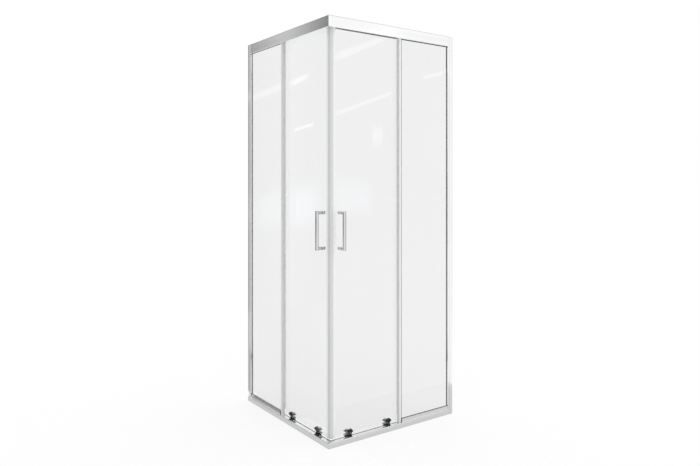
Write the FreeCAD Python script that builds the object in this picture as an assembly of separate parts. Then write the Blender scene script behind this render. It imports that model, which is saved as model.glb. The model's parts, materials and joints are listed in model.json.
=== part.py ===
import FreeCAD, Part
import math
import os

from FreeCAD import Vector

# Corner-entry shower enclosure, in millimetres.
# Each wall is drawn with x along the wall from the outer corner, y inward from the outer rail
# face and z up. The right wall is drawn as it stands, and the left wall is its mirror image.

# Overall size
side_length = 760.0  # outer corner to the building wall, on both sides
overall_height = 1900.0

# Glass and how it is held
glass_thickness = 6.0
glass_setback = 9.0  # outer rail face to the fixed pane
plane_gap = 13.0  # fixed pane to the door behind it
gasket_wall = 2.0
gasket_show = 0.8  # gasket standing proud of its pocket
pocket_depth = 16.0

# Rails
profile_wall = 2.0
top_rail_height = 50.0
bottom_rail_height = 25.0  # at the ledge, on the outside
inner_lip_height = 20.0  # at the lower track, on the inside
top_edge_round = 2.5
ledge_round = 3.0
ledge_reach = 2.0  # bottom rail's ledge beyond the door glass
top_lip_gap = 2.0  # top rail's lip to the door glass
bead_height = 2.0
bead_toe = 0.75  # track lip beyond its bead
bead_side_gap = 0.5
port_size = 9.0  # solid rib that takes a frame screw
end_gap = 1.5  # wheel axle's head to the rail's inner wall

# Wall profiles
channel_wall = 1.5
channel_leg = 20.0
channel_edge_round = 2.0
slip_gap = 0.2
jamb_width = 24.0
jamb_reach = 30.0  # building wall to the jamb's glass side
wall_hole_radius = 3.0
wall_hole_height_shares = (0.06, 0.355, 0.645, 0.94)
jamb_screw_height_shares = (0.15, 0.5, 0.85)
cap_thickness = 2.0
cap_spigot_length = 8.0
cap_spigot_depth = 4.0

# Trim round the fixed pane
trim_wall = 1.5
glazing_height = 16.5
end_cap_length = 4.0
entrance_width = 414.0  # outer corner to the overlap profile
overlap_grip = 8.0
lip_seal_reach = 4.0
lip_seal_gap = 0.5
lip_seal_clear = 10.0  # lip seal above the roller brackets

# Corner keys and screws
key_length = 60.0
key_thickness = 16.0
fit_gap = 0.1
screw_radius = 2.0
screw_head_radius = 3.5
screw_head_height = 2.5
screw_socket_radius = 1.8
screw_socket_depth = 1.5
frame_screw_grip = 14.0  # frame screw's length in the rail
key_screw_length = 12.0
key_screw_inset = 15.0  # key's end to its screw
jamb_screw_length = 9.0

# Doors
door_overlap = 24.0  # door behind the fixed pane when closed
door_floor_gap = 5.0  # bottom rail to the door glass
glass_above_axle = 4.0
lift_room = 7.0  # space above the top wheels to lift a door in
open_margin = 8.0  # rear seal to the jamb when the door is open

# Door seals
seal_wall = 1.5
seal_floor = 2.0
seal_grip = 10.0
magnet_nose = 6.0
meeting_gap = 0.5
fin_gap = 0.5
fin_trim = 2.0

# Handles
handle_radius = 8.0
handle_centres = 160.0
handle_standoff = 36.0  # glass to the bar's centre line
handle_height = 951.0
handle_edge_offset = 35.5  # door glass edge to the handle
handle_thread_depth = 15.0
handle_cap_radius = 7.0
handle_cap_height = 3.0

# Rollers
front_roller_offset = 88.0  # door's leading edge to the front rollers
rear_roller_offset = 82.0  # door's trailing edge to the rear rollers
running_gap = 0.05
wheel_side_gap = 0.5
track_gap = 0.3
axle_head_height = 1.5
bolt_radius = 3.0
bolt_hole_gap = 0.5
bolt_head_radius = 5.0
bolt_head_height = 3.0
bolt_socket_radius = 2.5
bolt_socket_depth = 1.8

# Top hangers and wheels
hanger_thickness = 4.0
hanger_length = 40.0
hanger_margin = 8.0  # plate beyond its holes
hanger_bolt_spacing = 24.0
hanger_bolt_drop = 16.0  # axle to the bolts
top_wheel_radius = 11.0
top_wheel_width = 8.0
top_groove_radius = 9.5
top_groove_width = 4.0
axle_radius = 2.5
axle_head_radius = 4.5

# Bottom brackets and release carriages
bracket_length = 40.0
bracket_height = 20.0
bracket_depth = 12.0
bracket_drop = 4.0  # bracket below the door glass edge
bracket_arm = 4.0
bracket_web = 8.5  # upright next to the stem
bracket_slot = 5.0  # open slot between the uprights
bracket_slab = 8.5  # upright at the far end
bracket_bolt_rise = 10.0  # door glass edge to the bolts
bracket_plate = 4.0  # bolt's grip in the bracket
stem_reach = 8.0  # upright to the stem
stem_setback = 6.0  # door glass to the stem
stem_radius = 2.5
collar_radius = 4.0
collar_height = 2.5
collar_drop = 7.0  # bracket's top to the collar
button_radius = 5.0
button_height = 3.0
button_gap = 3.5  # bracket's top to the button
tab_thickness = 3.0
tab_width = 10.0
tab_below_pin = 4.5
tab_above_wheel = 1.0
pin_radius = 2.0
pin_head_radius = 3.5
bottom_wheel_radius = 5.5
bottom_wheel_width = 6.0
bottom_groove_radius = 4.2
bottom_groove_width = 3.5

# Carriage springs
spring_wire_radius = 0.4
spring_gap = 0.4  # spring to the stem
spring_end_gap = 0.2
spring_turns = 4
arcs_per_turn = 4
gap_points_per_turn = 48
gap_digits = 3

# Door stops
stop_length = 12.0
stop_height = 14.0
stop_gap = 1.0

# Working values
socket_sides = 6
overrun = 5.0  # cutting tools past the surface that they cut
edge_tolerance = 0.001
mitred_corners = 1  # way of turning a swept bar at its corners

# Planes across a wall, counted inward from the outer rail face
fixed_out = glass_setback
fixed_in = fixed_out + glass_thickness
pocket_out = fixed_out - gasket_wall
pocket_in = fixed_in + gasket_wall
door_out = fixed_in + plane_gap
door_in = door_out + glass_thickness
ledge_depth = door_in + ledge_reach
hanger_in = door_in + hanger_thickness
top_wheel_out = hanger_in + wheel_side_gap
top_wheel_in = top_wheel_out + top_wheel_width
top_axle_end = top_wheel_in + wheel_side_gap + axle_head_height
stem_plane = door_in + stem_setback
tab_in = stem_plane + tab_thickness / 2
bottom_wheel_out = tab_in + wheel_side_gap
bottom_wheel_in = bottom_wheel_out + bottom_wheel_width
bottom_pin_end = bottom_wheel_in + wheel_side_gap + axle_head_height
inner_wall_out = max(top_axle_end, bottom_pin_end) + end_gap
rail_depth = inner_wall_out + profile_wall
jamb_inner_side = pocket_in + profile_wall
wall_profile_depth = jamb_inner_side + slip_gap + channel_wall
seal_out = door_out - seal_wall
seal_in = door_in + seal_wall
lip_seal_end = door_out - lip_seal_gap
overlap_web_end = lip_seal_end - lip_seal_reach

# Places along a wall, counted from the outer corner
fixed_edge = entrance_width + profile_wall
overlap_end = fixed_edge + overlap_grip
glazing_start = overlap_end + end_cap_length
jamb_face = side_length - jamb_reach
jamb_back = jamb_face + jamb_width
pocket_floor = jamb_face + pocket_depth
chamber_start = pocket_floor + profile_wall
chamber_end = jamb_back - profile_wall
door_lead = seal_in + meeting_gap + magnet_nose + seal_floor
door_rear = fixed_edge + door_overlap
door_travel = jamb_face - door_rear - seal_floor - open_margin
roller_places = {"front": door_lead + front_roller_offset, "rear": door_rear - rear_roller_offset}
handle_place = door_lead + handle_edge_offset
bracket_web_side = bracket_length / 2 - bracket_slab - bracket_slot - bracket_web  # counted from the roller

# Levels
profile_top = overall_height - cap_thickness
rail_underside = overall_height - top_rail_height
shelf_level = rail_underside + pocket_depth
shelf_top = shelf_level + profile_wall
top_axle_level = overall_height - profile_wall - lift_room - top_wheel_radius
top_bead_level = top_axle_level - top_groove_radius - track_gap
top_lip_level = top_bead_level - bead_height
hanger_bolt_level = top_axle_level - hanger_bolt_drop
door_top = top_axle_level + glass_above_axle
door_bottom = bottom_rail_height + door_floor_gap
glazing_floor = bottom_rail_height + profile_wall
glazing_top = bottom_rail_height + glazing_height
fixed_bottom = glazing_floor + gasket_wall
fixed_top = shelf_level - gasket_wall
bottom_bead_level = inner_lip_height - profile_wall - bead_height
pin_level = bottom_bead_level - track_gap - bottom_groove_radius
bracket_bottom = door_bottom - bracket_drop
bracket_top = bracket_bottom + bracket_height
collar_level = bracket_top - collar_drop
button_level = bracket_top + button_gap

# The origin is under the middle of the whole part, handles included.
handle_front = handle_standoff + handle_radius - door_out
corner_shift = (side_length - handle_front) / 2

along_wall = Vector(1, 0, 0)
inward = Vector(0, 1, 0)
upward = Vector(0, 0, 1)


def block(x_low, x_high, y_low, y_high, z_low, z_high):
    return Part.makeBox(x_high - x_low, y_high - y_low, z_high - z_low, Vector(x_low, y_low, z_low))


def rod(radius, start, direction, length):
    return Part.makeCylinder(radius, length, start, direction)


def joined(pieces):
    return pieces[0].multiFuse(pieces[1:]).removeSplitter()


def prism(outline, z_low, z_high):
    """An upright solid on an outline given as x and y pairs."""
    points = [Vector(x, y, z_low) for x, y in outline]
    face = Part.Face(Part.makePolygon(points + points[:1]))
    return face.extrude(upward * (z_high - z_low))


def mirrored(shape):
    return shape.mirror(Vector(0, 0, 0), along_wall - inward)


def rounded_edge(solid, radius, **place):
    """Round the edge whose two ends lie at the given coordinates."""

    def lies_there(vertex):
        return all(abs(getattr(vertex.Point, axis) - at) < edge_tolerance for axis, at in place.items())

    edges = [edge for edge in solid.Edges if all(lies_there(vertex) for vertex in edge.Vertexes)]
    return solid.makeFillet(radius, edges)


def mitred(solid):
    """Cut a rail at the corner, where it meets the other wall's rail."""
    far = rail_depth + overrun
    wedge = prism([(-overrun, -overrun), (far, far), (-overrun, far)], -overrun, overall_height + overrun)
    return solid.cut(wedge)


def driver_socket(face, direction, radius, depth):
    """A six-sided socket that goes from the middle of a head's face along direction."""
    side = Vector(direction.z, direction.x, direction.y)
    across = direction.cross(side)
    angles = [2 * math.pi * index / socket_sides for index in range(socket_sides)]
    corners = [face + side * (radius * math.cos(a)) + across * (radius * math.sin(a)) for a in angles]
    return Part.Face(Part.makePolygon(corners + corners[:1])).extrude(direction * depth)


def screw(seat, direction, length):
    """A screw whose head sits on seat and whose shank runs along direction."""
    shank = rod(screw_radius, seat, direction, length)
    head = rod(screw_head_radius, seat, direction * -1, screw_head_height)
    face = seat - direction * screw_head_height
    socket = driver_socket(face, direction, screw_socket_radius, screw_socket_depth)
    return joined([shank, head]).cut(socket)


def screw_hole(seat, direction, length):
    depth = length + overrun + fit_gap
    return rod(screw_radius + fit_gap, seat - direction * overrun, direction, depth)


def frame_screws():
    """Seat, direction and length of the screws from the jamb's chamber into the ends of the two rails."""
    pocket_middle = (pocket_out + pocket_in) / 2
    top_level = overall_height - profile_wall - port_size / 2
    low_level = profile_wall + port_size / 2
    length = profile_wall + pocket_depth + frame_screw_grip
    return {
        "top": (Vector(chamber_start, pocket_middle, top_level), along_wall * -1, length),
        "bottom": (Vector(chamber_start, pocket_middle, low_level), along_wall * -1, length),
    }


def key_screws():
    """Seat, direction and length of the screws that hold the rails to the corner keys."""
    place = key_length - key_screw_inset
    pocket_middle = (pocket_out + pocket_in) / 2
    low_level = (port_size + bottom_rail_height) / 2
    return {
        "top": (Vector(place, pocket_middle, shelf_level), upward, key_screw_length),
        "bottom": (Vector(place, ledge_depth, low_level), inward * -1, key_screw_length),
    }


def jamb_screws():
    """Seat, direction and length of the screws from the wall channel into the jamb."""
    place = (chamber_start + chamber_end) / 2
    return [
        (Vector(place, wall_profile_depth, overall_height * share), inward * -1, jamb_screw_length)
        for share in jamb_screw_height_shares
    ]


def track_edges(wheel_out, wheel_width, groove_width):
    """Outer and inner side of the bead that a grooved wheel runs on."""
    middle = wheel_out + wheel_width / 2
    half_bead = groove_width / 2 - bead_side_gap
    return middle - half_bead, middle + half_bead


def port_sides():
    """Outer and inner side of the ribs that take the frame screws."""
    middle = (pocket_out + pocket_in) / 2
    return middle - port_size / 2, middle + port_size / 2


def fitted_rail(rail, level):
    """A rail with its mitre, its notch for the wall profiles and its screw holes."""
    notch_in = wall_profile_depth + fit_gap
    notch_top = overall_height + overrun
    notch = block(jamb_face, side_length + overrun, -overrun, notch_in, -overrun, notch_top)
    rail = mitred(rail.cut(notch))
    for screws in (frame_screws(), key_screws()):
        rail = rail.cut(screw_hole(*screws[level]))
    return rail


def top_rail():
    bead_out, bead_in = track_edges(top_wheel_out, top_wheel_width, top_groove_width)
    lip_low = top_lip_level - profile_wall
    lip_top = rail_underside + profile_wall
    ceiling = overall_height - profile_wall
    port_out, port_in = port_sides()
    section = [
        (0, profile_wall, rail_underside, overall_height),
        (0, rail_depth, ceiling, overall_height),
        (0, pocket_out, rail_underside, lip_top),
        (pocket_out - profile_wall, pocket_out, rail_underside, shelf_top),
        (pocket_in, pocket_in + profile_wall, rail_underside, shelf_top),
        (pocket_in, door_out - top_lip_gap, rail_underside, lip_top),
        (0, pocket_in + profile_wall, shelf_level, shelf_top),
        (inner_wall_out, rail_depth, lip_low, overall_height),
        (bead_out - bead_toe, rail_depth, lip_low, top_lip_level),
        (bead_out, bead_in, top_lip_level, top_bead_level),
        (port_out, port_in, ceiling - port_size, ceiling),
    ]
    pocket_cover = block(0, entrance_width, pocket_out, pocket_in, rail_underside, lip_top)
    rail = joined([block(0, side_length, *limits) for limits in section] + [pocket_cover])
    rail = rounded_edge(rail, top_edge_round, y=0, z=overall_height)
    rail = rounded_edge(rail, top_edge_round, y=0, z=rail_underside)
    return fitted_rail(rail, "top")


def bottom_rail():
    bead_out, bead_in = track_edges(bottom_wheel_out, bottom_wheel_width, bottom_groove_width)
    ledge_low = bottom_rail_height - profile_wall
    lip_low = inner_lip_height - profile_wall
    port_out, port_in = port_sides()
    section = [
        (0, rail_depth, 0, profile_wall),
        (0, profile_wall, 0, bottom_rail_height),
        (0, ledge_depth, ledge_low, bottom_rail_height),
        (ledge_depth - profile_wall, ledge_depth, 0, bottom_rail_height),
        (inner_wall_out, rail_depth, 0, inner_lip_height),
        (bead_out - bead_toe, rail_depth, lip_low, inner_lip_height),
        (bead_out, bead_in, bottom_bead_level, lip_low),
        (port_out, port_in, 0, profile_wall + port_size),
    ]
    rail = joined([block(0, side_length, *limits) for limits in section])
    rail = rounded_edge(rail, ledge_round, y=0, z=bottom_rail_height)
    return fitted_rail(rail, "bottom")


def corner_key(level, z_low, z_high, thickness):
    """An L-shaped key that reaches into both rails."""
    start = profile_wall + fit_gap
    leg = block(start, key_length, start, start + thickness, z_low + fit_gap, z_high - fit_gap)
    leg = leg.cut(screw_hole(*key_screws()[level]))
    return joined([leg, mirrored(leg)])


def top_corner_key():
    return corner_key("top", shelf_top, overall_height - profile_wall - port_size, key_thickness)


def bottom_corner_key():
    ledge_space = ledge_depth - profile_wall - profile_wall - fit_gap - fit_gap
    low = profile_wall + port_size
    return corner_key("bottom", low, bottom_rail_height - profile_wall, ledge_space)


def wall_channel():
    web_face = side_length - profile_wall
    leg_end = side_length - channel_leg
    inner_leg = wall_profile_depth - channel_wall
    channel = joined([
        block(web_face, side_length, 0, wall_profile_depth, 0, profile_top),
        block(leg_end, side_length, 0, channel_wall, 0, profile_top),
        block(leg_end, side_length, inner_leg, wall_profile_depth, 0, profile_top),
    ])
    channel = rounded_edge(channel, channel_edge_round, x=side_length, y=0)
    for share in wall_hole_height_shares:
        start = Vector(web_face - overrun, wall_profile_depth / 2, overall_height * share)
        channel = channel.cut(rod(wall_hole_radius, start, along_wall, profile_wall + overrun + overrun))
    for placed_screw in jamb_screws():
        channel = channel.cut(screw_hole(*placed_screw))
    return channel


def jamb():
    side_out = channel_wall + slip_gap
    side_in = jamb_inner_side
    rib_out = pocket_out - profile_wall
    section = [
        (jamb_face, jamb_face + profile_wall, side_out, side_in),
        (chamber_end, jamb_back, side_out, side_in),
        (jamb_face, jamb_back, side_out, side_out + profile_wall),
        (jamb_face, jamb_back, pocket_in, side_in),
        (jamb_face, chamber_start, rib_out, pocket_out),
        (pocket_floor, chamber_start, rib_out, side_in),
    ]
    profile = joined([block(*limits, 0, profile_top) for limits in section])
    pocket_end = overall_height + overrun
    pocket = block(jamb_face - overrun, pocket_floor, pocket_out, pocket_in, -overrun, pocket_end)
    profile = profile.cut(pocket)
    for placed_screw in list(frame_screws().values()) + jamb_screws():
        profile = profile.cut(screw_hole(*placed_screw))
    driver_radius = screw_head_radius + slip_gap
    driver_depth = jamb_back - chamber_start + overrun
    for placed_screw in frame_screws().values():
        profile = profile.cut(rod(driver_radius, placed_screw[0], along_wall, driver_depth))
    return profile


def profile_cap():
    """Closes the top of the wall channel and jamb, with a spigot in the jamb."""
    plate = block(jamb_face, side_length, 0, wall_profile_depth, profile_top, overall_height)
    plate = rounded_edge(plate, channel_edge_round, x=side_length, y=0)
    spigot_out = channel_wall + slip_gap + profile_wall + fit_gap
    spigot = block(
        chamber_start + fit_gap,
        chamber_end - fit_gap,
        spigot_out,
        spigot_out + cap_spigot_depth,
        profile_top - cap_spigot_length,
        profile_top,
    )
    return joined([plate, spigot])


def fixed_glass():
    return block(fixed_edge, pocket_floor - gasket_wall, fixed_out, fixed_in, fixed_bottom, fixed_top)


def glazing_channel():
    low = pocket_out - trim_wall
    high = pocket_in + trim_wall
    return joined([
        block(glazing_start, jamb_face, low, high, bottom_rail_height, glazing_floor),
        block(glazing_start, jamb_face, low, pocket_out, bottom_rail_height, glazing_top),
        block(glazing_start, jamb_face, pocket_in, high, bottom_rail_height, glazing_top),
    ])


def glazing_end_cap():
    low = pocket_out - trim_wall
    high = pocket_in + trim_wall
    cap = block(overlap_end, glazing_start, low, high, bottom_rail_height, glazing_top + gasket_show)
    return cap.cut(fixed_glass())


def glazing_gaskets():
    """Rubber U strips under, over and at the wall edge of the fixed pane."""
    lower_top = glazing_top + gasket_show
    upper_low = rail_underside - gasket_show
    lower = block(glazing_start, jamb_face, pocket_out, pocket_in, glazing_floor, lower_top)
    upper = block(overlap_end, jamb_face, pocket_out, pocket_in, upper_low, shelf_level)
    side = block(
        jamb_face,
        pocket_floor,
        pocket_out,
        pocket_in,
        fixed_bottom - gasket_wall,
        fixed_top + gasket_wall,
    )
    side_slot = block(
        jamb_face,
        pocket_floor - gasket_wall,
        fixed_out,
        fixed_in,
        fixed_bottom - overrun,
        fixed_top + overrun,
    )
    return [lower.cut(fixed_glass()), upper.cut(fixed_glass()), side.cut(side_slot)]


def overlap_profile():
    low = fixed_out - trim_wall
    high = fixed_in + trim_wall
    section = [
        (entrance_width, fixed_edge, low, overlap_web_end),
        (entrance_width, overlap_end, low, fixed_out),
        (entrance_width, overlap_end, fixed_in, high),
    ]
    return joined([block(*limits, bottom_rail_height, rail_underside) for limits in section])


def overlap_seal():
    seal_low = bracket_top + lip_seal_clear
    return block(entrance_width, fixed_edge, overlap_web_end, lip_seal_end, seal_low, rail_underside)


def door_stop():
    bead_out, bead_in = track_edges(top_wheel_out, top_wheel_width, top_groove_width)
    start = roller_places["rear"] + top_wheel_radius + door_travel + stop_gap
    end = start + stop_length
    stop_top = top_lip_level + stop_height
    stop = block(start, end, bead_out - bead_toe, inner_wall_out, top_lip_level, stop_top)
    return stop.cut(block(start, end, bead_out, bead_in, top_lip_level, top_bead_level))


def hanger_bolt_places():
    half = hanger_bolt_spacing / 2
    return [
        (roller + side * half, hanger_bolt_level) for roller in roller_places.values() for side in (-1, 1)
    ]


def bracket_bolt_places():
    web_middle = bracket_web_side + bracket_web / 2
    slab_middle = bracket_length / 2 - bracket_slab / 2
    level = door_bottom + bracket_bolt_rise
    uprights = (web_middle, slab_middle)
    return [(roller + upright, level) for roller in roller_places.values() for upright in uprights]


def bolt_places():
    return hanger_bolt_places() + bracket_bolt_places()


def handle_ends():
    half = handle_centres / 2
    return [(handle_place, handle_height + side * half) for side in (-1, 1)]


def bolt_hole(place, gap, y_low, y_high):
    return rod(bolt_radius + gap, Vector(place[0], y_low, place[1]), inward, y_high - y_low)


def door_glass():
    pane = block(door_lead, door_rear, door_out, door_in, door_bottom, door_top)
    for place in bolt_places() + handle_ends():
        pane = pane.cut(bolt_hole(place, bolt_hole_gap, door_out - overrun, door_in + overrun))
    return pane


def seal_grip_solid(edge, direction):
    """The U that grips a door edge; direction points from the edge into the glass."""
    ends = sorted((edge - direction * seal_floor, edge + direction * seal_grip))
    grip = block(ends[0], ends[1], seal_out, seal_in, door_bottom, door_top)
    slot_low = door_bottom - overrun
    slot_high = door_top + overrun
    return grip.cut(block(door_lead, door_rear, door_out, door_in, slot_low, slot_high))


def magnetic_seal():
    """Grip and mitred magnet nose, which meets the other door's nose at the corner."""
    back = door_lead - seal_floor
    half_gap = meeting_gap / 2
    outline = [
        (back, seal_out),
        (back, seal_in),
        (seal_in + half_gap, seal_in),
        (seal_out + half_gap, seal_out),
    ]
    return joined([seal_grip_solid(door_lead, 1), prism(outline, door_bottom, door_top)])


def rear_seal():
    """Grip and fin, which closes the gap behind the fixed pane."""
    fin_low = glazing_top + gasket_show + fin_trim
    fin_high = rail_underside - gasket_show - fin_trim
    fin_start = door_rear - seal_grip
    fin = block(fin_start, fin_start + seal_floor, fixed_in + fin_gap, seal_out, fin_low, fin_high)
    return joined([seal_grip_solid(door_rear, -1), fin])


def handle():
    """A bar with mitred corners and its two ends on the outside of the door glass."""
    low, high = [end[1] for end in handle_ends()]
    bar_plane = door_out - handle_standoff

    def at(plane, level):
        return Vector(handle_place, plane, level)

    path = Part.makePolygon([at(door_out, low), at(bar_plane, low), at(bar_plane, high), at(door_out, high)])
    ring = Part.Wire(Part.makeCircle(handle_radius, at(door_out, low), inward))
    bar = path.makePipeShell([ring], True, False, mitred_corners)
    thread_end = door_out - handle_thread_depth - fit_gap
    for end in handle_ends():
        bar = bar.cut(bolt_hole(end, fit_gap, thread_end, door_out + overrun))
    return bar


def handle_screws():
    screws = []
    for place, level in handle_ends():
        seat = Vector(place, door_in, level)
        shank = rod(bolt_radius, seat, inward * -1, glass_thickness + handle_thread_depth)
        cap = rod(handle_cap_radius, seat, inward, handle_cap_height)
        screws.append(joined([shank, cap]))
    return screws


def glass_bolts():
    """Bolts from the outside of the glass into the hangers and brackets."""
    grips = [hanger_thickness] * len(hanger_bolt_places()) + [bracket_plate] * len(bracket_bolt_places())
    bolts = []
    for (place, level), grip in zip(bolt_places(), grips):
        seat = Vector(place, door_out, level)
        shank = rod(bolt_radius, seat, inward, glass_thickness + grip)
        head = rod(bolt_head_radius, seat, inward * -1, bolt_head_height)
        face = seat - inward * bolt_head_height
        socket = driver_socket(face, inward, bolt_socket_radius, bolt_socket_depth)
        bolts.append(joined([shank, head]).cut(socket))
    return bolts


def top_hanger(roller):
    half = hanger_length / 2
    low = hanger_bolt_level - hanger_margin
    high = top_axle_level + hanger_margin
    plate = block(roller - half, roller + half, door_in, hanger_in, low, high)
    for place in hanger_bolt_places():
        plate = plate.cut(bolt_hole(place, fit_gap, door_in - overrun, hanger_in + overrun))
    axle_hole = rod(
        axle_radius + running_gap,
        Vector(roller, door_in - overrun, top_axle_level),
        inward,
        hanger_thickness + overrun + overrun,
    )
    return plate.cut(axle_hole)


def top_axle(roller):
    pin = rod(axle_radius, Vector(roller, door_in, top_axle_level), inward, top_axle_end - door_in)
    head_start = Vector(roller, top_axle_end - axle_head_height, top_axle_level)
    return joined([pin, rod(axle_head_radius, head_start, inward, axle_head_height)])


def grooved_wheel(centre, radius, width, groove_radius, groove_width, bore):
    """A wheel whose groove runs on a bead; centre is on its outer side."""
    wheel = rod(radius, centre, inward, width)
    groove_start = centre + inward * ((width - groove_width) / 2)
    ring = rod(radius + overrun, groove_start, inward, groove_width)
    ring = ring.cut(rod(groove_radius, groove_start, inward, groove_width))
    hole = rod(bore, centre - inward * overrun, inward, width + overrun + overrun)
    return wheel.cut(ring).cut(hole)


def top_wheel(roller):
    centre = Vector(roller, top_wheel_out, top_axle_level)
    bore = axle_radius + running_gap
    return grooved_wheel(
        centre, top_wheel_radius, top_wheel_width, top_groove_radius, top_groove_width, bore
    )


def stem_place(roller):
    return roller + bracket_web_side - stem_reach


def roller_bracket(roller):
    """Two uprights bolted to the glass, with two arms that guide the carriage stem."""
    low_end = roller - bracket_length / 2
    high_end = roller + bracket_length / 2
    web_start = roller + bracket_web_side
    web_end = web_start + bracket_web
    slab_start = high_end - bracket_slab
    face = door_in + bracket_depth
    bracket = joined([
        block(web_start, web_end, door_in, face, bracket_bottom, bracket_top),
        block(slab_start, high_end, door_in, face, bracket_bottom, bracket_top),
        block(low_end, web_end, door_in, face, bracket_top - bracket_arm, bracket_top),
        block(low_end, high_end, door_in, face, bracket_bottom, bracket_bottom + bracket_arm),
    ])
    thread_end = door_in + bracket_plate + fit_gap
    for place in bracket_bolt_places():
        bracket = bracket.cut(bolt_hole(place, fit_gap, door_in - overrun, thread_end))
    bore_start = Vector(stem_place(roller), stem_plane, bracket_bottom - overrun)
    bore_length = bracket_height + overrun + overrun
    return bracket.cut(rod(stem_radius + running_gap, bore_start, upward, bore_length))


def release_carriage(roller):
    """Stem with button, spring collar and the pin of the bottom wheel."""
    place = stem_place(roller)
    wheel_top = pin_level + bottom_wheel_radius
    stem_low = wheel_top + wheel_side_gap

    def on_stem(level):
        return Vector(place, stem_plane, level)

    return joined([
        rod(stem_radius, on_stem(stem_low), upward, button_level - stem_low),
        rod(collar_radius, on_stem(collar_level), upward, collar_height),
        rod(button_radius, on_stem(button_level), upward, button_height),
        block(
            place - tab_width / 2,
            place + tab_width / 2,
            stem_plane - tab_thickness / 2,
            tab_in,
            pin_level - tab_below_pin,
            wheel_top + tab_above_wheel,
        ),
        rod(pin_radius, on_stem(pin_level), inward, bottom_pin_end - stem_plane),
        rod(
            pin_head_radius,
            Vector(place, bottom_pin_end - axle_head_height, pin_level),
            inward,
            axle_head_height,
        ),
    ])


def bottom_wheel(roller):
    centre = Vector(stem_place(roller), bottom_wheel_out, pin_level)
    bore = pin_radius + running_gap
    return grooved_wheel(
        centre, bottom_wheel_radius, bottom_wheel_width, bottom_groove_radius, bottom_groove_width, bore
    )


def arc_middle(start, corner, end):
    """Middle of the arc that leaves start towards corner and reaches end from it."""
    chord_middle = (start + end) * 0.5
    turn = (end - start).Length / 2 / (corner - start).Length
    return chord_middle + (corner - chord_middle) * (turn / (1 + turn))


def coil_path(centre, radius, pitch, turns):
    """A rising coil as pairs of arcs that share their tangents."""

    def point(angle):
        rise = pitch * angle / (2 * math.pi)
        return centre + Vector(radius * math.cos(angle), radius * math.sin(angle), rise)

    def tangent(angle):
        rise = pitch / (2 * math.pi)
        return Vector(-radius * math.sin(angle), radius * math.cos(angle), rise).normalize()

    edges = []
    step = 2 * math.pi / arcs_per_turn
    for index in range(turns * arcs_per_turn):
        first, last = point(index * step), point((index + 1) * step)
        leave, arrive = tangent(index * step), tangent((index + 1) * step)
        reach = last - first
        both = leave + arrive
        spread = 2 * (1 - leave.dot(arrive))
        along = reach.dot(both)
        length = (math.sqrt(along * along + spread * reach.dot(reach)) - along) / spread
        corner_one = first + leave * length
        corner_two = last - arrive * length
        meeting = (corner_one + corner_two) * 0.5
        edges.append(Part.Arc(first, arc_middle(first, corner_one, meeting), meeting).toShape())
        edges.append(Part.Arc(meeting, arc_middle(meeting, corner_two, last), last).toShape())
    return Part.Wire(edges), tangent(0)


def coil_gap(path, turns):
    """Least clear gap between one turn of the coil's wire and the next, measured on points."""
    points = path.discretize(turns * gap_points_per_turn)
    half_turn = gap_points_per_turn // 2
    distances = [
        first.distanceToPoint(second)
        for index, first in enumerate(points)
        for second in points[index + half_turn:]
    ]
    return min(distances) - spring_wire_radius - spring_wire_radius


def carriage_spring(roller):
    """A coil round the stem that pushes the collar up."""
    coil_radius = stem_radius + spring_gap + spring_wire_radius
    low = bracket_bottom + bracket_arm + spring_end_gap + spring_wire_radius
    high = collar_level - spring_end_gap - spring_wire_radius
    centre = Vector(stem_place(roller), stem_plane, low)
    path, start_tangent = coil_path(centre, coil_radius, (high - low) / spring_turns, spring_turns)
    print("least gap in a carriage spring", round(coil_gap(path, spring_turns), gap_digits))
    start = centre + along_wall * coil_radius
    ring = Part.Wire(Part.makeCircle(spring_wire_radius, start, start_tangent))
    return path.makePipeShell([ring], True, False)


def rollers(make):
    return [make(roller) for roller in roller_places.values()]


def side_nodes():
    """The nodes that each wall has, as name and list of solids."""
    nodes = {
        "wall_channel": [wall_channel()],
        "jamb": [jamb()],
        "top_rail": [top_rail()],
        "bottom_rail": [bottom_rail()],
        "fixed_glass": [fixed_glass()],
        "glazing_channel": [glazing_channel()],
        "glazing_gaskets": glazing_gaskets(),
        "overlap_profile": [overlap_profile()],
        "overlap_seal": [overlap_seal()],
        "door_glass": [door_glass()],
        "magnetic_seal": [magnetic_seal()],
        "rear_seal": [rear_seal()],
        "handle": [handle()],
        "handle_screws": handle_screws(),
        "glass_bolts": glass_bolts(),
        "top_hangers": rollers(top_hanger),
        "top_axles": rollers(top_axle),
        "roller_brackets": rollers(roller_bracket),
    }
    for end, roller in roller_places.items():
        nodes[f"{end}_top_wheel"] = [top_wheel(roller)]
        nodes[f"{end}_release_carriage"] = [release_carriage(roller)]
        nodes[f"{end}_carriage_spring"] = [carriage_spring(roller)]
        nodes[f"{end}_bottom_wheel"] = [bottom_wheel(roller)]
    return nodes


def shared_nodes():
    """The nodes that both walls share; the last five hold one group for the two walls."""
    rail_screws = list(frame_screws().values()) + list(key_screws().values())
    right_groups = {
        "frame_screws": [screw(*placed_screw) for placed_screw in rail_screws],
        "jamb_screws": [screw(*placed_screw) for placed_screw in jamb_screws()],
        "profile_caps": [profile_cap()],
        "glazing_end_caps": [glazing_end_cap()],
        "door_stops": [door_stop()],
    }
    nodes = {"top_corner_key": [top_corner_key()], "bottom_corner_key": [bottom_corner_key()]}
    for name, solids in right_groups.items():
        nodes[name] = solids + [mirrored(solid) for solid in solids]
    return nodes


def write_node(name, solids):
    shape = solids[0] if len(solids) == 1 else Part.makeCompound(solids)
    shape.translate(Vector(-corner_shift, -corner_shift, 0))
    shape.exportStep(os.path.join("parts", name + ".step"))


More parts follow.
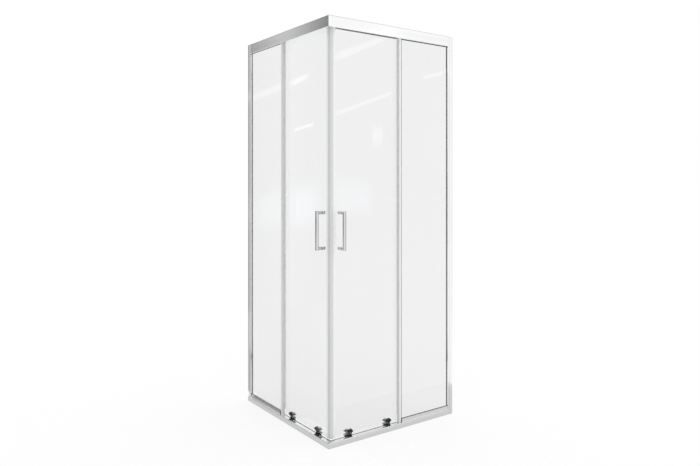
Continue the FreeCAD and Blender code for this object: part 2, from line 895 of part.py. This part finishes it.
def main():
    os.makedirs("parts", exist_ok=True)
    for name, solids in side_nodes().items():
        left_solids = [mirrored(solid) for solid in solids]
        write_node("left_" + name, left_solids)
        write_node("right_" + name, solids)
    for name, solids in shared_nodes().items():
        write_node(name, solids)
    print("corner shift", corner_shift, "door travel", door_travel, "rail depth", rail_depth)


main()
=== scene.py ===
import json
import math

import bpy
from mathutils import Euler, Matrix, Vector


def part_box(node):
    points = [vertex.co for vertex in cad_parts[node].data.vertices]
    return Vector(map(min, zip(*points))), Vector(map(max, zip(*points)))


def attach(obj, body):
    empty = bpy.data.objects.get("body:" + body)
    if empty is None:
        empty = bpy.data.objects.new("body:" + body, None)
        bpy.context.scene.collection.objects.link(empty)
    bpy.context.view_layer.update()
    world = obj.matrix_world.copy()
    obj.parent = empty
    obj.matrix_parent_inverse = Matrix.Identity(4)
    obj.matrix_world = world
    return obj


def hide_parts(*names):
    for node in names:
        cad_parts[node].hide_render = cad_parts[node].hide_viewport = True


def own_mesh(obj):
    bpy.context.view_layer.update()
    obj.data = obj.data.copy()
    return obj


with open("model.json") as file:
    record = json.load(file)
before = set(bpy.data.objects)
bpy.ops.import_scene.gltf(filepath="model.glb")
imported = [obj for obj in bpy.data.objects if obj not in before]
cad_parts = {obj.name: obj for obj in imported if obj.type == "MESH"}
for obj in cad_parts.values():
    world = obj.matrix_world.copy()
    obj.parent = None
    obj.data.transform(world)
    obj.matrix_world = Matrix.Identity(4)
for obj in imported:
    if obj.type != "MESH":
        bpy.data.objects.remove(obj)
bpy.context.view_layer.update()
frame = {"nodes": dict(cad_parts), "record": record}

# Corner-entry shower enclosure: finishes, studio and camera. Lengths are in metres.

# Camera, fitted to the photograph's frame; its lens and its sensor are in millimetres
image_width = 700
image_height = 466
middle_share = 0.5
camera_place = Vector((-1.943722, -2.653040, 1.169326))
camera_turn_degrees = (90.0, 0.0, -34.934)
camera_lens = 32.629
sensor_width = 36.0
camera_shift = (0.02485, -0.07309)

# Studio
floor_half_size = 40.0
floor_drop = 0.0003
floor_colour = (0.9, 0.9, 0.9, 1.0)
floor_seen_colour = (0.2, 0.2, 0.2, 1.0)
floor_lift = 0.81
sky_level = 0.9
sky_side_level = 0.25
sky_bright_side = (1.0, -1.0, 0.6)

# Flags are dark filters that only reflections see. The back one is upright, with pairs of x and grey tone.
back_flag_depth = 2.5
back_flag_height = 3.6
back_flag_tones = (
    (-3.4, 0.16),
    (-2.55, 0.17),
    (-2.34, 0.24),
    (-1.86, 0.63),
    (-1.48, 0.38),
    (-1.36, 0.26),
    (-1.24, 0.05),
    (-0.95, 0.05),
)

# Upright flags at the two sides, each with its x, its spans along y and z and its tone. The handles reflect
# the low ones.
side_flags = {
    "left_flag": (-3.4, (-0.9, 2.4), (0.0, 3.2), 0.45),
    "left_low_flag": (-3.3, (-0.9, 2.4), (0.65, 1.15), 0.27),
    "right_flag": (2.6, (-2.2, 2.5), (0.0, 3.2), 0.3),
    "right_low_flag": (2.5, (-2.2, 2.5), (0.65, 1.15), 0.2),
}

# Level flags, each with its spans along x and y, its height and its tone. All but the roof lie on the floor.
level_flags = {
    "roof_flag": ((-4.0, 4.0), (-4.0, 4.0), 4.4, 0.4),
    "inner_mat": ((-0.37, 0.72), (-0.72, 0.72), 0.0003, 0.68),
    "left_mat": ((-3.3, -0.445), (-0.6, 2.5), 0.0006, 0.5),
    "left_strip": ((-0.444, -0.405), (0.0, 0.44), 0.0006, 0.3),
    "left_foot": ((-0.404, -0.3725), (-0.4, 0.45), 0.0006, 0.66),
}

# An upright flag behind the part that works only after a reflection, also through the panes
under_flag_x_span = (1.68, 3.9)
under_flag_depth = 2.5
under_flag_z_span = (0.4, 1.3)
under_flag_tone = 0.1
bounce_threshold = 0.5

# Glows that only reflections see. Each corner is the pixel of the photograph at which the glow shows in the
# plane of its side's door.
glow_distance = 3.0
streak_strength = 1.25
white_patch_strength = 1.2
blue_patch_strength = 0.9
white_colour = (1.0, 1.0, 1.0, 1.0)
blue_colour = (0.75, 0.9, 1.0, 1.0)
streak_margin_shares = (0.15, 0.35)
patch_margin_shares = (0.25, 0.4)
white_streaks = {
    "left_upper_streak": ((250, 107), (312, 78.5), (312, 69.5), (250, 96)),
    "left_lower_streak": ((293, 133), (315, 126), (315, 121), (293, 128)),
    "right_upper_streak": ((331, 65), (389, 40), (389, 32), (331, 52)),
    "right_middle_streak": ((331, 119), (396, 94), (396, 88.5), (331, 112)),
    "right_far_streak": ((419, 81), (442, 75.5), (442, 70.5), (419, 76)),
}
white_patches = {
    "right_white_patch": ((371, 150), (384, 149), (384, 122), (371, 123)),
}
blue_patches = {
    "left_blue_patch": ((252, 236), (328, 236), (328, 172), (252, 190)),
    "right_blue_patch": ((331, 222), (376, 216), (376, 176), (331, 168)),
}

# Surface detail; densities are features per metre, those of brushed metal along and across its grain
noise_low = 0.3
noise_high = 0.7
fine_detail = 4.0
coarse_detail = 2.0
brushed_fine_densities = (6.0, 900.0)
brushed_broad_densities = (1.2, 90.0)
brushed_grain_share = 0.04
brushed_grain_depth = 0.0002
smear_densities = (60.0, 60.0, 25.0)
spangle_densities = (300.0, 300.0, 300.0)
spangle_share = 0.1
spangle_depth = 0.0001
moulded_grain_share = 0.2
moulded_grain_depth = 0.0001
cloud_densities = (1.5, 1.5, 0.8)
cloud_share = 0.01
glass_index = 1.5
# Painted light: the same glass gets a paler tint on the left side than on the right, which lightens the left
# panes.
painted_light_glass_tints = {"left": (0.9, 0.9, 0.902), "right": (0.868, 0.868, 0.87)}
glass_edge_colour = (0.66, 0.78, 0.75, 1.0)
seal_index = 1.15
seal_clear_share = 0.2
seal_grip_colour = (0.93, 0.935, 0.94, 1.0)

# Axes by number, and names in the frame
axis_count = 3
upright = 2
wall_axis = {"left": 0, "right": 1}
run_axis = {"left": 1, "right": 0}
uprights = ("wall_channel", "jamb", "overlap_profile")
carriages = ("left_front", "left_rear", "right_front", "right_rear")


def new_material(name):
    material = bpy.data.materials.new(name)
    material.use_nodes = True
    return material, material.node_tree, material.node_tree.nodes["Principled BSDF"]


def add_node(tree, kind, **values):
    node = tree.nodes.new(kind)
    for name, value in values.items():
        node.inputs[name].default_value = value
    return node


def math_node(tree, operation, first, second=None, fixed=None):
    """A sum on one socket and either a second socket or a fixed number."""
    node = tree.nodes.new("ShaderNodeMath")
    node.operation = operation
    tree.links.new(first, node.inputs[0])
    if second is not None:
        tree.links.new(second, node.inputs[1])
    if fixed is not None:
        node.inputs[1].default_value = fixed
    return node.outputs["Value"]


def coordinate(tree, kind, axis):
    place = tree.nodes.new("ShaderNodeTexCoord")
    parts = tree.nodes.new("ShaderNodeSeparateXYZ")
    tree.links.new(place.outputs[kind], parts.inputs["Vector"])
    return parts.outputs[axis]


def noise(tree, densities, detail=fine_detail):
    """Noise in the part's own frame, with a density for each of x, y and z."""
    place = tree.nodes.new("ShaderNodeTexCoord")
    mapping = add_node(tree, "ShaderNodeMapping", Scale=densities)
    texture = add_node(tree, "ShaderNodeTexNoise", Scale=1.0, Detail=detail)
    tree.links.new(place.outputs["Object"], mapping.inputs["Vector"])
    tree.links.new(mapping.outputs["Vector"], texture.inputs["Vector"])
    return texture.outputs["Fac"]


def spread(tree, source, low, high):
    """The middle of a noise, stretched to run from low to high."""
    node = add_node(tree, "ShaderNodeMapRange")
    node.inputs["From Min"].default_value = noise_low
    node.inputs["From Max"].default_value = noise_high
    node.inputs["To Min"].default_value = low
    node.inputs["To Max"].default_value = high
    tree.links.new(source, node.inputs["Value"])
    return node.outputs["Result"]


def blend_colours(tree, factor, first, second):
    """A mix of two colours, each given as a colour or as a socket."""
    node = tree.nodes.new("ShaderNodeMix")
    node.data_type = "RGBA"
    sockets = {socket.identifier: socket for socket in node.inputs}
    for name, colour in (("A_Color", first), ("B_Color", second)):
        if isinstance(colour, bpy.types.NodeSocket):
            tree.links.new(colour, sockets[name])
        else:
            sockets[name].default_value = colour
    tree.links.new(factor, sockets["Factor_Float"])
    return {socket.identifier: socket for socket in node.outputs}["Result_Color"]


def add_bump(tree, shader, height, strength, distance):
    bump = add_node(tree, "ShaderNodeBump", Strength=strength, Distance=distance)
    tree.links.new(height, bump.inputs["Height"])
    tree.links.new(bump.outputs["Normal"], shader.inputs["Normal"])


def along(axis, along_density, across_density):
    """Densities for streaks that run along one axis."""
    return [along_density if index == axis else across_density for index in range(axis_count)]


def brushed_metal(name, axis, dark, bright, smooth, rough, metallic):
    """Extruded and brushed metal with streaks along its length."""
    material, tree, shader = new_material(name)
    fine = noise(tree, along(axis, *brushed_fine_densities))
    broad = noise(tree, along(axis, *brushed_broad_densities))
    shade = spread(tree, broad, 0.0, 1.0)
    tree.links.new(blend_colours(tree, shade, dark, bright), shader.inputs["Base Color"])
    tree.links.new(spread(tree, fine, smooth, rough), shader.inputs["Roughness"])
    add_bump(tree, shader, fine, brushed_grain_share, brushed_grain_depth)
    shader.inputs["Metallic"].default_value = metallic
    return material


def polished_aluminium(axis):
    dark = (0.9, 0.905, 0.91, 1.0)
    bright = (0.96, 0.962, 0.965, 1.0)
    name = f"polished_aluminium_{axis}"
    return brushed_metal(name, axis, dark, bright, smooth=0.08, rough=0.16, metallic=1.0)


def satin_aluminium(axis):
    dark = (0.9, 0.905, 0.91, 1.0)
    bright = (0.96, 0.965, 0.97, 1.0)
    name = f"satin_aluminium_{axis}"
    return brushed_metal(name, axis, dark, bright, smooth=0.28, rough=0.4, metallic=0.1)


def chrome():
    """Bright plating with faint smears."""
    material, tree, shader = new_material("chrome")
    dark = (0.62, 0.625, 0.63, 1.0)
    bright = (0.74, 0.742, 0.745, 1.0)
    smear = noise(tree, smear_densities)
    tree.links.new(blend_colours(tree, smear, dark, bright), shader.inputs["Base Color"])
    tree.links.new(spread(tree, smear, low=0.05, high=0.12), shader.inputs["Roughness"])
    shader.inputs["Metallic"].default_value = 1.0
    return material


def zinc_steel():
    """Zinc plating with its mottled spangle."""
    material, tree, shader = new_material("zinc_steel")
    dark = (0.52, 0.53, 0.54, 1.0)
    bright = (0.72, 0.73, 0.74, 1.0)
    spangle = noise(tree, spangle_densities, coarse_detail)
    tree.links.new(blend_colours(tree, spangle, dark, bright), shader.inputs["Base Color"])
    tree.links.new(spread(tree, spangle, low=0.25, high=0.42), shader.inputs["Roughness"])
    add_bump(tree, shader, spangle, spangle_share, spangle_depth)
    shader.inputs["Metallic"].default_value = 1.0
    return material


def clear_glass(side):
    """Toughened glass: a faint cloudy tint on its faces and greener edges. Its tint per side is painted
    light: the same glass is paler on the left than on the right.
    """
    material, tree, shader = new_material(f"clear_glass_{side}")
    cloud = noise(tree, cloud_densities, coarse_detail)
    # The side's tint, paler on the left, is painted light.
    pale = [level * (1.0 + cloud_share) for level in painted_light_glass_tints[side]] + [1.0]
    deep = [level * (1.0 - cloud_share) for level in painted_light_glass_tints[side]] + [1.0]
    face_colour = blend_colours(tree, cloud, deep, pale)
    facing = math_node(tree, "ABSOLUTE", coordinate(tree, "Normal", wall_axis[side]))
    colour = blend_colours(tree, facing, glass_edge_colour, face_colour)
    tree.links.new(colour, shader.inputs["Base Color"])
    shader.inputs["Roughness"].default_value = 0.0
    shader.inputs["IOR"].default_value = glass_index
    shader.inputs["Transmission Weight"].default_value = 1.0
    return material


def moulded(name, dark, bright, smooth, rough, density):
    """Plastic, rubber or a painted casting, with a fine grain."""
    material, tree, shader = new_material(name)
    grain = noise(tree, [density] * axis_count)
    tree.links.new(blend_colours(tree, grain, dark, bright), shader.inputs["Base Color"])
    tree.links.new(spread(tree, grain, smooth, rough), shader.inputs["Roughness"])
    add_bump(tree, shader, grain, moulded_grain_share, moulded_grain_depth)
    return material


def dark_rubber():
    dark = (0.3, 0.3, 0.302, 1.0)
    bright = (0.4, 0.4, 0.402, 1.0)
    return moulded("dark_rubber", dark, bright, smooth=0.5, rough=0.7, density=900.0)


def black_nylon():
    dark = (0.015, 0.015, 0.016, 1.0)
    bright = (0.04, 0.04, 0.042, 1.0)
    return moulded("black_nylon", dark, bright, smooth=0.35, rough=0.5, density=700.0)


def black_casting():
    dark = (0.01, 0.01, 0.011, 1.0)
    bright = (0.03, 0.03, 0.032, 1.0)
    return moulded("black_casting", dark, bright, smooth=0.15, rough=0.3, density=1200.0)


def black_plastic():
    dark = (0.01, 0.01, 0.011, 1.0)
    bright = (0.03, 0.03, 0.032, 1.0)
    return moulded("black_plastic", dark, bright, smooth=0.3, rough=0.45, density=800.0)


def clear_seal():
    """Milky PVC that lets some light through."""
    dark = (0.8, 0.81, 0.815, 1.0)
    bright = (0.9, 0.91, 0.915, 1.0)
    material = moulded("clear_seal", dark, bright, smooth=0.25, rough=0.4, density=60.0)
    shader = material.node_tree.nodes["Principled BSDF"]
    shader.inputs["Transmission Weight"].default_value = seal_clear_share
    shader.inputs["IOR"].default_value = seal_index
    return material


def grey_seal(side):
    """Grey magnet nose up to the door's edge, and a white grip on the glass beyond it."""
    dark = (0.67, 0.675, 0.68, 1.0)
    bright = (0.75, 0.755, 0.76, 1.0)
    material = moulded(f"grey_seal_{side}", dark, bright, smooth=0.3, rough=0.45, density=60.0)
    tree = material.node_tree
    shader = tree.nodes["Principled BSDF"]
    axis = run_axis[side]
    glass_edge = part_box(f"{side}_door_glass")[0][axis]
    grip = math_node(tree, "GREATER_THAN", coordinate(tree, "Object", axis), fixed=glass_edge)
    nose_colour = shader.inputs["Base Color"].links[0].from_socket
    tree.links.new(blend_colours(tree, grip, nose_colour, seal_grip_colour), shader.inputs["Base Color"])
    return material


grained_finishes = {"polished_aluminium": polished_aluminium, "satin_aluminium": satin_aluminium}
sided_finishes = {"clear_glass": clear_glass, "grey_seal": grey_seal}
plain_finishes = {
    "chrome": chrome,
    "zinc_steel": zinc_steel,
    "dark_rubber": dark_rubber,
    "black_nylon": black_nylon,
    "black_casting": black_casting,
    "black_plastic": black_plastic,
    "clear_seal": clear_seal,
}


def side_of(name):
    return name.split("_")[0]


def grain_axis(node):
    """The axis that a profile was extruded along."""
    if any(node.endswith(name) for name in uprights):
        return upright
    return run_axis.get(side_of(node), upright)


def finish_nodes():
    """Give every node the finish of its slot."""
    made = {}
    for part in frame["record"]["subparts"]:
        node, slot = part["node"], part["material_slot"]
        if slot in grained_finishes:
            make, choice = grained_finishes[slot], [grain_axis(node)]
        elif slot in sided_finishes:
            make, choice = sided_finishes[slot], [side_of(node)]
        else:
            make, choice = plain_finishes[slot], []
        key = (slot, *choice)
        if key not in made:
            made[key] = make(*choice)
        mesh = frame["nodes"][node].data
        mesh.materials.clear()
        mesh.materials.append(made[key])


def add_springs():
    """Stand-ins for the carriage springs, which shorten as their release button goes down."""
    for carriage in carriages:
        node = f"{carriage}_carriage_spring"
        spring = bpy.data.objects.new(f"{carriage}_coil", frame["nodes"][node].data.copy())
        bpy.context.scene.collection.objects.link(spring)
        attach(spring, f"{side_of(carriage)}_door")
        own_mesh(spring)
        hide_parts(node)


def camera_rotation():
    return Euler([math.radians(angle) for angle in camera_turn_degrees])


def add_camera():
    data = bpy.data.cameras.new("camera")
    data.lens = camera_lens
    data.sensor_width = sensor_width
    data.shift_x, data.shift_y = camera_shift
    camera = bpy.data.objects.new("camera", data)
    camera.location = camera_place
    camera.rotation_euler = camera_rotation()
    bpy.context.scene.collection.objects.link(camera)
    bpy.context.scene.camera = camera


def ray_through(pixel):
    """Direction from the camera through a pixel of the photograph's frame."""
    across = pixel[0] / image_width - middle_share + camera_shift[0]
    up = (middle_share - pixel[1] / image_height) * image_height / image_width + camera_shift[1]
    ray = Vector((across * sensor_width, up * sensor_width, -camera_lens))
    return camera_rotation().to_matrix() @ ray


def reflected_place(side, pixel):
    """The place that shows at a pixel, mirrored in the plane of one side's door."""
    axis = wall_axis[side]
    ray = ray_through(pixel)
    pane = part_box(f"{side}_door_glass")[0][axis]
    hit = camera_place + ray * ((pane - camera_place[axis]) / ray[axis])
    ray[axis] = -ray[axis]
    return hit + ray.normalized() * glow_distance


def add_sheet(name, corners, material):
    """A four-cornered stage sheet, with its corners at the ends of u and v."""
    mesh = bpy.data.meshes.new(name)
    mesh.from_pydata([tuple(corner) for corner in corners], [], [(0, 1, 2, 3)])
    layer = mesh.uv_layers.new(name="across_and_up")
    for loop, uv in zip(layer.data, ((0, 0), (1, 0), (1, 1), (0, 1))):
        loop.uv = uv
    mesh.materials.append(material)
    sheet = bpy.data.objects.new(name, mesh)
    bpy.context.scene.collection.objects.link(sheet)
    return sheet


def only_in_reflections(sheet):
    sheet.visible_camera = False
    sheet.visible_diffuse = False
    sheet.visible_transmission = False
    sheet.visible_shadow = False
    sheet.visible_volume_scatter = False


def stage_material(name):
    material = bpy.data.materials.new(name)
    material.use_nodes = True
    tree = material.node_tree
    tree.nodes.clear()
    return material, tree, tree.nodes.new("ShaderNodeOutputMaterial")


def grey(tone):
    return (tone, tone, tone, 1.0)


def tone_ramp(tree, source, tones, interpolation="LINEAR"):
    """Greys along a share from 0 to 1; tones are pairs of share and grey."""
    ramp = tree.nodes.new("ShaderNodeValToRGB")
    ramp.color_ramp.interpolation = interpolation
    stops = ramp.color_ramp.elements
    while len(stops) < len(tones):
        stops.new(middle_share)
    for stop, (share, tone) in zip(stops, tones):
        stop.position = share
        stop.color = grey(tone)
    tree.links.new(source, ramp.inputs["Fac"])
    return ramp.outputs["Color"]


def add_flag(name, corners, tones):
    """A filter that darkens what shines through it, by tones along the share across."""
    material, tree, output = stage_material(name)
    dimmer = tree.nodes.new("ShaderNodeBsdfTransparent")
    tree.links.new(tone_ramp(tree, coordinate(tree, "UV", 0), tones), dimmer.inputs["Color"])
    tree.links.new(dimmer.outputs["BSDF"], output.inputs["Surface"])
    only_in_reflections(add_sheet(name, corners, material))


def even(tone):
    """The same tone from end to end."""
    return [(0.0, tone), (1.0, tone)]


def add_back_flag():
    low, high = back_flag_tones[0][0], back_flag_tones[-1][0]
    tones = [((place - low) / (high - low), tone) for place, tone in back_flag_tones]
    corners = [
        (low, back_flag_depth, 0),
        (high, back_flag_depth, 0),
        (high, back_flag_depth, back_flag_height),
        (low, back_flag_depth, back_flag_height),
    ]
    add_flag("back_flag", corners, tones)


def add_side_flag(name, place, y_span, z_span, tone):
    near, far = y_span
    low, high = z_span
    corners = [(place, near, low), (place, far, low), (place, far, high), (place, near, high)]
    add_flag(name, corners, even(tone))


def add_level_flag(name, x_span, y_span, height, tone):
    left, right = x_span
    near, far = y_span
    corners = [(left, near, height), (right, near, height), (right, far, height), (left, far, height)]
    add_flag(name, corners, even(tone))


def add_under_flag():
    """Darkens what the underside of the right top rail reflects through the door."""
    material, tree, output = stage_material("under_flag")
    path = tree.nodes.new("ShaderNodeLightPath")
    mirrored = math_node(tree, "GREATER_THAN", path.outputs["Glossy Depth"], fixed=bounce_threshold)
    dimmer = tree.nodes.new("ShaderNodeBsdfTransparent")
    tree.links.new(blend_colours(tree, mirrored, grey(1.0), grey(under_flag_tone)), dimmer.inputs["Color"])
    tree.links.new(dimmer.outputs["BSDF"], output.inputs["Surface"])
    left, right = under_flag_x_span
    low, high = under_flag_z_span
    depth = under_flag_depth
    corners = [(left, depth, low), (right, depth, low), (right, depth, high), (left, depth, high)]
    sheet = add_sheet("under_flag", corners, material)
    only_in_reflections(sheet)
    sheet.visible_transmission = True


def soft_edge(tree, source, margin_share):
    """Rises from 0 at both ends of a span to 1 inside its margins."""
    tones = ((0.0, 0.0), (margin_share, 1.0), (1.0 - margin_share, 1.0), (1.0, 0.0))
    return tone_ramp(tree, source, tones, "EASE")


def glow_material(name, colour, strength, margin_shares):
    """Adds light that fades out towards the sheet's edges to what is behind it."""
    material, tree, output = stage_material(name)
    across, up = [soft_edge(tree, coordinate(tree, "UV", axis), margin_shares[axis]) for axis in (0, 1)]
    fade = math_node(tree, "MULTIPLY", across, up)
    light = add_node(tree, "ShaderNodeEmission", Color=colour)
    tree.links.new(math_node(tree, "MULTIPLY", fade, fixed=strength), light.inputs["Strength"])
    clear = tree.nodes.new("ShaderNodeBsdfTransparent")
    both = tree.nodes.new("ShaderNodeAddShader")
    tree.links.new(light.outputs["Emission"], both.inputs[0])
    tree.links.new(clear.outputs["BSDF"], both.inputs[1])
    tree.links.new(both.outputs["Shader"], output.inputs["Surface"])
    return material


def add_glows(kind, glows, colour, strength, margin_shares):
    material = glow_material(kind, colour, strength, margin_shares)
    for name, pixels in glows.items():
        corners = [reflected_place(side_of(name), pixel) for pixel in pixels]
        only_in_reflections(add_sheet(name, corners, material))


def seen_directly(tree):
    """1 for rays that show the background: from the camera, a reflection or a pane."""
    path = tree.nodes.new("ShaderNodeLightPath")
    reflected = math_node(tree, "MAXIMUM", path.outputs["Is Camera Ray"], path.outputs["Is Glossy Ray"])
    return math_node(tree, "MAXIMUM", reflected, path.outputs["Is Transmission Ray"])


def add_floor():
    """A pale floor that keeps the shadow and shows white where it is lit."""
    material, tree, output = stage_material("floor")
    seen = seen_directly(tree)
    cover = tree.nodes.new("ShaderNodeBsdfDiffuse")
    tree.links.new(blend_colours(tree, seen, floor_colour, floor_seen_colour), cover.inputs["Color"])
    lift = add_node(tree, "ShaderNodeEmission", Color=grey(1.0))
    tree.links.new(math_node(tree, "MULTIPLY", seen, fixed=floor_lift), lift.inputs["Strength"])
    both = tree.nodes.new("ShaderNodeAddShader")
    tree.links.new(cover.outputs["BSDF"], both.inputs[0])
    tree.links.new(lift.outputs["Emission"], both.inputs[1])
    tree.links.new(both.outputs["Shader"], output.inputs["Surface"])
    sides = ((-1, -1), (1, -1), (1, 1), (-1, 1))
    corners = [(x * floor_half_size, y * floor_half_size, -floor_drop) for x, y in sides]
    add_sheet("floor", corners, material)


def add_sky():
    """White where it is seen; as light, brighter from the right and the front."""
    world = bpy.data.worlds.new("studio")
    bpy.context.scene.world = world
    world.use_nodes = True
    tree = world.node_tree
    background = tree.nodes["Background"]
    place = tree.nodes.new("ShaderNodeTexCoord")
    turn = tree.nodes.new("ShaderNodeVectorMath")
    turn.operation = "DOT_PRODUCT"
    turn.inputs[1].default_value = Vector(sky_bright_side).normalized()
    tree.links.new(place.outputs["Generated"], turn.inputs[0])
    level = add_node(tree, "ShaderNodeMapRange")
    level.inputs["From Min"].default_value = -1.0
    level.inputs["To Min"].default_value = sky_level - sky_side_level
    level.inputs["To Max"].default_value = sky_level + sky_side_level
    tree.links.new(turn.outputs["Value"], level.inputs["Value"])
    choice = tree.nodes.new("ShaderNodeMix")
    choice.inputs["B"].default_value = 1.0
    tree.links.new(seen_directly(tree), choice.inputs["Factor"])
    tree.links.new(level.outputs["Result"], choice.inputs["A"])
    tree.links.new(choice.outputs["Result"], background.inputs["Strength"])
    background.inputs["Color"].default_value = grey(1.0)


bpy.context.scene.view_settings.view_transform = "Standard"
add_camera()
finish_nodes()
add_springs()
add_floor()
add_sky()
add_back_flag()
for flag_name, flag_values in side_flags.items():
    add_side_flag(flag_name, *flag_values)
for flag_name, flag_values in level_flags.items():
    add_level_flag(flag_name, *flag_values)
add_under_flag()
add_glows("streak", white_streaks, white_colour, streak_strength, streak_margin_shares)
add_glows("white_patch", white_patches, white_colour, white_patch_strength, patch_margin_shares)
add_glows("blue_patch", blue_patches, blue_colour, blue_patch_strength, patch_margin_shares)
